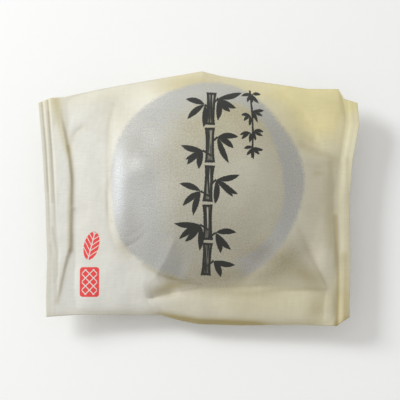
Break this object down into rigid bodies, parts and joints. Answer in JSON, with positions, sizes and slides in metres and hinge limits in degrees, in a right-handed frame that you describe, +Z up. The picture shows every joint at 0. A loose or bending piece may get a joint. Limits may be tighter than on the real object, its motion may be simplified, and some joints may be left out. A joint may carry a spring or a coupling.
{
  "type": "wrapped manju",
  "caption": "Steamed bun sealed in a soft cream paper pack: a round bulge between two flat crimped end seals, with a loose flap along one side, lying flat on its back.",
  "frame": {"origin": "on the resting plane, at the middle of the pack's outline seen from above", "axes": "+X along the pack from one end seal to the other, +Y across it towards the side that the bun is pushed against, +Z up out of the printed front"},
  "size_m": [0.0974, 0.0782, 0.025],
  "materials": {
    "cream_paper": "soft paper with a faint sheen, cream, printed in silver grey, black and red"
  },
  "bodies": {
    "root": {"wrapped_manju": "cream_paper"}
  },
  "joints": []
}
